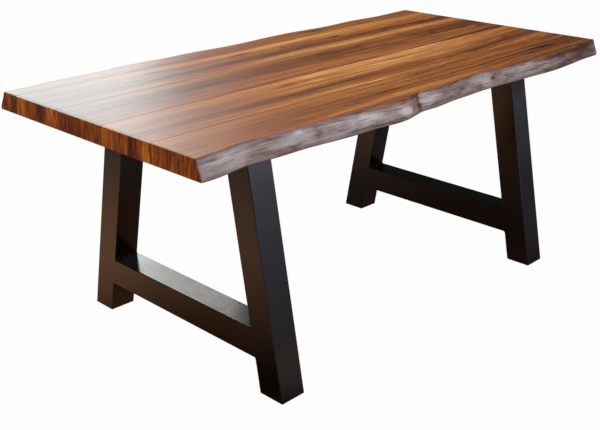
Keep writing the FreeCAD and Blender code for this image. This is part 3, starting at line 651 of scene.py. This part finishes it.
# Oiled hardwood of one plank, a solid pattern that runs through from face to end.
def makeWood(name, p, w, b):
    material, tree, output = newMaterial(name)
    low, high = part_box(p["node"])
    seed = p["seed"]
    place = addNode(tree, "ShaderNodeTexCoord").outputs["Object"]
    parts = addNode(tree, "ShaderNodeSeparateXYZ", {0: place})
    x, y, z = parts.outputs
    along = addNode(tree, "ShaderNodeMapRange", {
        "Value": x, "From Min": low.x, "From Max": high.x})
    shift = grainShift(tree, place, along, p, w)
    across = addNode(tree, "ShaderNodeMath", {0: y, 1: shift}, operation="SUBTRACT")
    across, darkening = addKnots(tree, place, across, high.z, p["knots"], w["knot"])
    flow = addNode(tree, "ShaderNodeCombineXYZ", {0: x, 1: across, 2: z})
    sawn = sawnEnds(tree)
    # Streaks, figure loops and pores fade towards the left end: painted to offset the back window's
    # glare, which washes them out there.
    faded, fadeReach = w["glareQuiet"]
    keptUnderGlare = addNode(tree, "ShaderNodeMapRange", {
        "Value": along, "From Max": fadeReach, "To Min": 1 - faded},
        interpolation_type="SMOOTHSTEP")
    grainKeptUnderGlare = addNode(tree, "ShaderNodeMath", {0: keptUnderGlare, 1: sawn}, operation="MAXIMUM")

    # the tone is built up from the plank's drawn tones, 0 for darkest
    tone = boardTone(tree, across, along, sawn, low, high, p)
    tone, patterns, bands = addStreaks(tree, flow, tone, grainKeptUnderGlare, sawn, w, seed)
    rings = growthRings(tree, x, z, across, patterns[0], low, high, w, seed)
    tone = addNode(tree, "ShaderNodeMath", {0: rings, 1: w["ringDepth"], 2: tone},
                   operation="MULTIPLY_ADD")
    loops = addNode(tree, "ShaderNodeMath", {0: figureLoops(tree, flow, w, seed), 1: grainKeptUnderGlare},
                    operation="MULTIPLY")
    tone = addNode(tree, "ShaderNodeMath", {0: loops, 1: w["figureDepth"], 2: tone},
                   operation="MULTIPLY_ADD")
    pores = addNode(tree, "ShaderNodeMath", {0: openPores(tree, flow, w, seed), 1: keptUnderGlare},
                    operation="MULTIPLY")
    for dark in (pores, darkening):
        tone = addNode(tree, "ShaderNodeMath", {0: tone, 1: dark}, operation="SUBTRACT")
    tone = addNode(tree, "ShaderNodeMath", {0: bands, 1: sawn, 2: tone}, operation="MULTIPLY_ADD")
    darkest = addNode(tree, "ShaderNodeMath", {0: sawn, 1: w["endDarkest"]}, operation="MULTIPLY")
    tone = addNode(tree, "ShaderNodeMath", {0: tone, 1: darkest}, operation="MAXIMUM")

    fromFront = addNode(tree, "ShaderNodeMath", {0: y, 1: low.y}, operation="SUBTRACT")
    fromBack = addNode(tree, "ShaderNodeMath", {0: high.y, 1: y}, operation="SUBTRACT")
    seamGap = addNode(tree, "ShaderNodeMath", {0: fromFront, 1: fromBack}, operation="MINIMUM")
    seamShare = addNode(tree, "ShaderNodeMapRange", {
        "Value": seamGap, "From Min": w["glueWidth"] * mm, "From Max": 0.0, "To Max": 0.8},
        interpolation_type="SMOOTHSTEP")
    surface = woodColour(tree, flow, tone, sawn, seamShare, w, seed)
    relief = addNode(tree, "ShaderNodeMath", {0: patterns[2], 1: 0.5, 2: patterns[1]},
                     operation="MULTIPLY_ADD")
    height = addNode(tree, "ShaderNodeMath", {0: relief, 1: pores}, operation="SUBTRACT")
    if p["live"]:
        barkColour, barkHeight, fibres = addBark(tree, place, parts, low, p, b)
        grown = addNode(tree, "ShaderNodeAttribute", attribute_name="barkSide").outputs["Fac"]
        torn = addNode(tree, "ShaderNodeMath", {0: fibres, 1: 1.2, 2: grown},
                       operation="MULTIPLY_ADD")
        barkSide = addNode(tree, "ShaderNodeMapRange", {
            "Value": torn, "From Min": 0.75, "From Max": 1.35}, interpolation_type="SMOOTHSTEP")
        surface = addNode(tree, "ShaderNodeMix", {0: barkSide, 6: surface, 7: barkColour},
                          data_type="RGBA").outputs[2]
        height = addNode(tree, "ShaderNodeMix", {0: barkSide, 2: height, 3: barkHeight},
                         data_type="FLOAT")

    strength, depth = w["feel"]
    bump = addNode(tree, "ShaderNodeBump", {
        "Strength": strength, "Distance": depth * mm, "Height": height})
    gloss = addNode(tree, "ShaderNodeMapRange", {
        "Value": tone, "From Min": 0.1, "From Max": 0.9,
        "To Min": w["roughness"][0], "To Max": w["roughness"][1]})
    dull = addNode(tree, "ShaderNodeMath", {0: sawn, 1: seamShare}, operation="MAXIMUM")
    shine = addNode(tree, "ShaderNodeMapRange", {
        "Value": dull, "To Min": w["shine"], "To Max": w["endShine"]})
    finish = addNode(tree, "ShaderNodeBsdfPrincipled", {
        "Base Color": surface, "Roughness": gloss, "IOR": 1.45, "Specular IOR Level": shine,
        "Normal": bump})
    tree.links.new(finish.outputs[0], output.inputs["Surface"])
    return material


# How the planks are meshed, with their rounds, arrises and waves in mm.
plankShape = {
    "columns": {"live": 600, "inner": 200},
    "topRows": 44,
    "underRows": 12,
    "liveRows": 36,
    "roundSteps": (0.0, 0.33, 0.67, 1.0),
    "seamArris": 0.5,  # the tiny V along each glue line
    "endArris": 1.0,
    "topRound": 1.2,
    "underRound": 2.0,
    "inset": 0.1,  # how far the live edge stays inside the CAD plank's box
    "topWave": 0.12,  # how far hand sanding leaves the top from flat
    "topWaveSize": (350, 120),
}

# Relief of the live edge. Each pattern has its length along the edge in mm, its cycles from rim
# to rim and its rise in mm.
barkShape = {
    "wave": (100, 1.3, 1.8),
    "rib": (45, 3.0, 0.7),
    "fibre": (160, 24, 0.22),
    "split": (200, 8, 7),
    "splitFrom": 2.52,  # mm that a split's pattern has to pass before it opens
    "sunk": 1.0,  # mm that all of it lies inside the CAD edge
    "reliefShadingSpan": 9,  # mm of relief from the darkest hollow to the palest crest: painted shade and highlight
    "endFade": 60,  # mm
    "rimRelief": 0.3,  # share of the relief that is left at the rims
    "rimReach": 4,  # mm over which the bark gets its full colour, from its torn top rim down
    "rimTone": -0.16,
    "rimRed": 0.9,
}


# Reads how far out the CAD plank's live edge stands at a place x and height z.
def edgeReader(node):
    bm = bmesh.new()
    bm.from_mesh(nodes[node].data)
    tree = BVHTree.FromBMesh(bm)
    bm.free()
    low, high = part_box(node)

    def read(x, z, side):
        x = min(max(x, low.x + mm), high.x - mm)
        z = min(max(z, low.z + 0.4 * mm), high.z - 0.4 * mm)
        return tree.ray_cast(Vector((x, side * 1.0, z)), Vector((0, -side, 0)))[0].y

    return read


# How far in mm the live edge stands out at x. Share runs from the top rim to the underside.
def barkRelief(x, share, p, b):
    def ripple(kind, step, lift):
        length, cycles, rise = b[kind]
        place = Vector((x / mm / length, share * cycles + lift, p["seed"] + step))
        return rise * noise.noise(place)

    belly = math.sin(math.pi * min(max(share, 0), 1)) ** 0.7
    bumps = sum(rise * math.exp(-2 * ((x / mm - at) / length) ** 2)
                for at, length, rise in p["bumps"])
    length, cycles, rise = b["wave"]
    wave = rise * noise.fractal(Vector((x / mm / length, share * cycles, p["seed"])), 1.0, 2.1, 2)
    split = max(0.0, ripple("split", 15, 0.5 * wave) - b["splitFrom"])
    return bumps * belly + wave + ripple("rib", 4, 0.0) + ripple("fibre", 8, wave) - split


# Tone and redness of the bark patches at a place, in mm. The tone is partly painted highlight on
# bump crests and painted shade in creases. Noise tears their outlines.
def patchMarks(x, z, patches):
    x += 13 * noise.noise(Vector((x / 25, z / 9, 3)))
    z += 4 * noise.noise(Vector((x / 30, z / 10, 9)))
    tone = redness = 0.0
    for px, pz, length, height, patchTone, patchRed in patches:
        soft = math.exp(-2 * (((x - px) / length) ** 2 + ((z - pz) / height) ** 2))
        tone += patchTone * soft
        redness += patchRed * soft
    return tone, redness


# Rows of the live side at x, from top to underside, each [y, z] and its bark marks.
def liveSide(x, p, s, b, read, low, high):
    live, topRound, underRound = p["live"], s["topRound"] * mm, s["underRound"] * mm
    start, end = high.z - topRound, low.z + underRound
    rows = []
    for share in s["roundSteps"]:
        turn = share * math.pi / 2
        out = read(x, start, live) - live * topRound * (1 - math.sin(turn))
        rows.append([out, high.z - topRound * (1 - math.cos(turn))])
    for i in range(1, s["liveRows"]):
        height = start - (start - end) * i / s["liveRows"]
        rows.append([read(x, height, live), height])
    for share in s["roundSteps"]:
        turn = share * math.pi / 2
        out = read(x, end, live) - live * underRound * (1 - math.cos(turn))
        rows.append([out, low.z + underRound * (1 - math.sin(turn))])
    fade = min(1.0, (x - low.x) / (b["endFade"] * mm), (high.x - x) / (b["endFade"] * mm))
    bare = p["bare"] + sum(deep * math.exp(-2 * ((x / mm - at) / length) ** 2)
                           for at, length, deep in p["bareRim"])
    for row in rows:
        share = (high.z - row[1]) / (high.z - low.z)
        relief = barkRelief(x, share, p, b) * fade - b["sunk"]
        strength = b["rimRelief"] + (1 - b["rimRelief"]) * min(1.0, 5 * share, 5 * (1 - share))
        row[0] += live * relief * strength * mm
        row[0] = min(max(row[0], low.y + s["inset"] * mm), high.y - s["inset"] * mm)
        down = (high.z - row[1]) / mm
        rim = math.exp(-max(0.0, down - bare) / b["rimReach"])
        tone, redness = patchMarks(x / mm, row[1] / mm, p["barkPatchesAndShading"])
        # Marks: the clean share, the relief as painted shade and highlight, and the patches' tone
        # and redness.
        row += [min(down / bare, 1.0), min(max(0.5 + relief / b["reliefShadingSpan"], 0.0), 1.0),
                tone + b["rimTone"] * rim, redness + b["rimRed"] * rim]
    return rows


# One plank: a grid wrapped round its section, whose live side follows the CAD edge.
def makePlank(name, p, s, b, material):
    low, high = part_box(p["node"])
    live = p["live"]
    read = edgeReader(p["node"]) if live else None
    arris = s["seamArris"] * mm
    endArris = s["endArris"] * mm
    middle = (low + high) / 2
    seam = low.y if live >= 0 else high.y
    near = seam + (arris if live >= 0 else -arris)

    def section(x):
        if live:
            far = liveSide(x, p, s, b, read, low, high)
        else:
            far = [[high.y - arris, high.z], [high.y, high.z - arris], [high.y, low.z + arris],
                   [high.y - arris, low.z]]
        rows = []
        waveX, waveY = s["topWaveSize"]
        for i in range(s["topRows"]):
            share = i / s["topRows"]
            y = near + (far[0][0] - near) * share
            swell = noise.noise(Vector((x / mm / waveX, y / mm / waveY, p["seed"]))) - 1
            edge = min(1.0, 12 * share, 12 * (1 - share))
            rows.append([y, high.z + swell * s["topWave"] * mm * edge])
        rows += far
        for i in range(1, s["underRows"] + 1):
            rows.append([far[-1][0] + (near - far[-1][0]) * i / s["underRows"], low.z])
        return rows + [[seam, low.z + arris], [seam, high.z - arris]]

    rowCount = len(section(low.x))
    columnCount = s["columns"]["live" if live else "inner"]
    bm = bmesh.new()
    bmesh.ops.create_grid(bm, x_segments=columnCount, y_segments=rowCount, size=0.5)
    barkLayers = [bm.verts.layers.float.new(mark)
                  for mark in ("barkSide", "barkReliefShading", "barkToneAndShading", "barkRed")]
    sections = {}
    for v in bm.verts:
        column, row = round((v.co.x + 0.5) * columnCount), round((v.co.y + 0.5) * rowCount)
        atEnd = column in (0, columnCount)
        x = low.x + (high.x - low.x) * column / columnCount
        if not atEnd:
            x = min(max(x, low.x + endArris), high.x - endArris)
        if column not in sections:
            sections[column] = section(x)
        y, z, *barkMarks = sections[column][row % rowCount]
        v.co = (x, y, z)
        if atEnd:  # drawn in by the arris round the sawn end
            v.co.y += (middle.y - y) * 2 * endArris / (high.y - low.y)
            v.co.z += (middle.z - z) * 2 * endArris / (high.z - low.z)
        for layer, mark in zip(barkLayers, barkMarks):
            v[layer] = mark
    bmesh.ops.remove_doubles(bm, verts=bm.verts, dist=0.01 * mm)
    caps = bmesh.ops.holes_fill(bm, edges=[e for e in bm.edges if e.is_boundary], sides=0)["faces"]
    bmesh.ops.recalc_face_normals(bm, faces=bm.faces)
    for f in bm.faces:
        f.smooth = True
    for f in caps:  # sawn ends are flat and have no bark
        f.smooth = False
        for v in f.verts:
            v[barkLayers[0]] = 0.0
    piece = addPiece(name, bm, "root", material, [p["node"]])
    print(name, "made,", len(piece.data.polygons), "faces")


for plankName, plank in planks.items():
    plankWood = makeWood("oiledHardwood_" + plankName, plank, wood, bark)
    makePlank(plankName, plank, plankShape, barkShape, plankWood)
print("table top made")

# Powder coat: satin polyester over mild steel, warm near-black with a fine orange peel.
coat = {
    "colour": "#0d0908",
    "roughness": (0.13, 0.19),  # in patches from the spraying
    "patch": 90,  # mm
    "peel": 1.6,  # mm from bump to bump
    "peelDepth": 0.4,
    "specular": 0.5,
}


def makePowderCoat(name, c):
    material, tree, output = newMaterial(name)
    place = addNode(tree, "ShaderNodeTexCoord").outputs["Object"]
    peel = cloudPattern(tree, place, (c["peel"],) * 3, 2, 1)
    cloud = cloudPattern(tree, place, (c["patch"],) * 3, 5, 3)
    bump = addNode(tree, "ShaderNodeBump", {
        "Strength": 0.05, "Distance": c["peelDepth"] * mm, "Height": peel})
    sheen = addNode(tree, "ShaderNodeMapRange", {
        "Value": cloud, "From Min": 0.3, "From Max": 0.7,
        "To Min": c["roughness"][0], "To Max": c["roughness"][1]})
    finish = addNode(tree, "ShaderNodeBsdfPrincipled", {
        "Base Color": linear(c["colour"]), "Roughness": sheen, "Specular IOR Level": c["specular"],
        "Normal": bump})
    tree.links.new(finish.outputs[0], output.inputs["Surface"])
    return material


# Small fittings. Zinc plate is a bright grey metal, faintly mottled by its bath. Moulded nylon is
# near-black with a dull, fine-grained skin. Pressed beech is pale tan, plain and matt.
fittings = {
    "zinc_plated_steel": {"name": "zincPlatedSteel", "colour": "#b9b8b0", "metallic": 1.0,
                          "roughness": (0.22, 0.42), "speck": 6},
    "black_nylon": {"name": "mouldedNylon", "colour": "#17171a", "metallic": 0.0,
                    "roughness": (0.45, 0.65), "speck": 2},
    "beech": {"name": "pressedBeech", "colour": "#c79d6b", "metallic": 0.0,
              "roughness": (0.6, 0.8), "speck": 3},
}


def makeFitting(f):
    material, tree, output = newMaterial(f["name"])
    place = addNode(tree, "ShaderNodeTexCoord").outputs["Object"]
    cloud = cloudPattern(tree, place, (f["speck"],) * 3, 8, 3)
    worn = addNode(tree, "ShaderNodeMapRange", {
        "Value": cloud, "To Min": f["roughness"][0], "To Max": f["roughness"][1]})
    bump = addNode(tree, "ShaderNodeBump", {"Strength": 0.2, "Distance": 0.0002, "Height": cloud})
    finish = addNode(tree, "ShaderNodeBsdfPrincipled", {
        "Base Color": linear(f["colour"]), "Metallic": f["metallic"], "Roughness": worn,
        "Normal": bump})
    tree.links.new(finish.outputs[0], output.inputs["Surface"])
    return material


# Every other CAD node is shown as it is, in the finish of its material slot.
finishes = {"powder_coated_steel": makePowderCoat("satinPowderCoat", coat)}
for slotName, fitting in fittings.items():
    finishes[slotName] = makeFitting(fitting)
for subpart in frame["record"]["subparts"]:
    if subpart["material_slot"] in finishes:
        mesh = nodes[subpart["node"]].data
        mesh.materials.clear()
        mesh.materials.append(finishes[subpart["material_slot"]])
print("frames finished")
